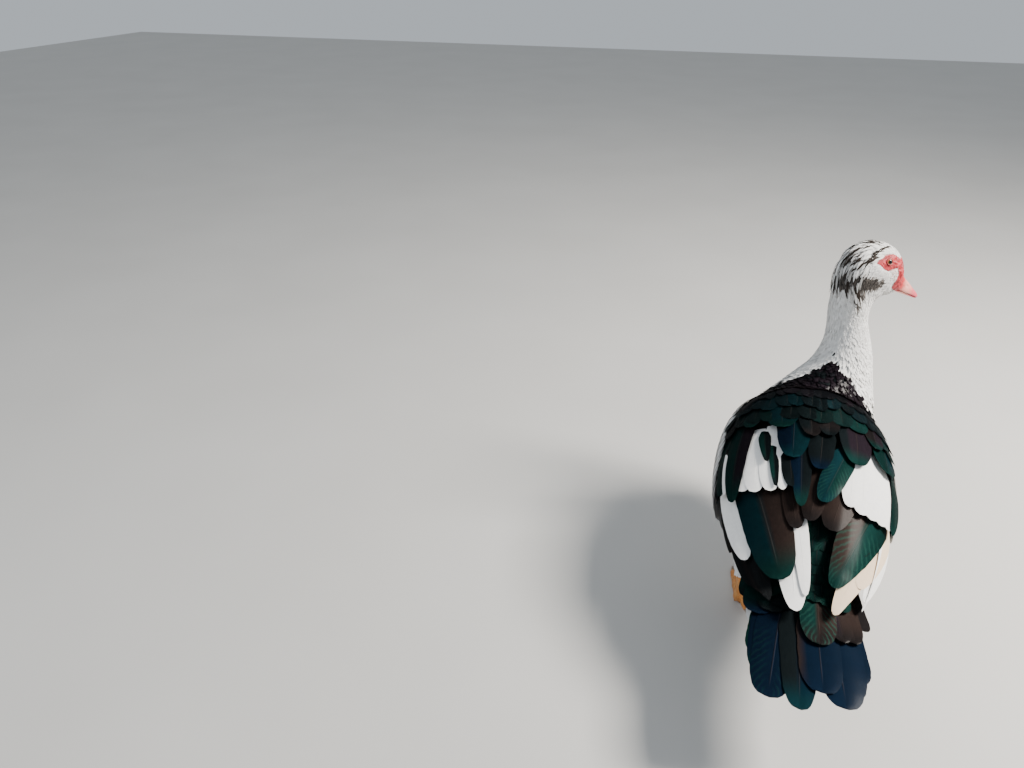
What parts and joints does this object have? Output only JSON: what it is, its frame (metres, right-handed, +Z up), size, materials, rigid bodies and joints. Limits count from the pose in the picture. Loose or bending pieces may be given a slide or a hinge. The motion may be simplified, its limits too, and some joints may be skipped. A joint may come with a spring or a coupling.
{
  "type": "muscovy duck, still life-size model",
  "caption": "Still life-size muscovy duck, standing on both webbed feet, wings folded, head turned to its right.",
  "frame": {"origin": "on the floor, under the middle of the bird's outline", "axes": "+Z up, -Y towards the breast and the way the body faces, +X towards the bird's left side"},
  "size_m": [0.2596, 0.581, 0.5195],
  "materials": {
    "plumage_white": "soft matt feathers",
    "plumage_dark": "silky black-green feathers with a green and blue gloss",
    "bill": "satin horn",
    "bare_face": "bare warty skin",
    "leg_skin": "scaly satin skin",
    "claw": "satin horn",
    "eye": "wet and glossy"
  },
  "bodies": {
    "root": {"torso": "plumage_white", "neck": "plumage_white", "head": "plumage_white", "bill_upper": "bill", "bill_lower": "bill", "eye_right": "eye", "eye_left": "eye", "tail": "plumage_dark", "wing_right": "plumage_dark", "wing_left": "plumage_dark", "thigh_left": "plumage_white", "thigh_right": "plumage_white", "shank_left": "leg_skin", "shank_right": "leg_skin", "foot_left": "leg_skin", "foot_right": "leg_skin", "claw_inner_left": "claw", "claw_middle_left": "claw", "claw_outer_left": "claw", "claw_hind_left": "claw", "claw_inner_right": "claw", "claw_middle_right": "claw", "claw_outer_right": "claw", "claw_hind_right": "claw"}
  },
  "joints": []
}
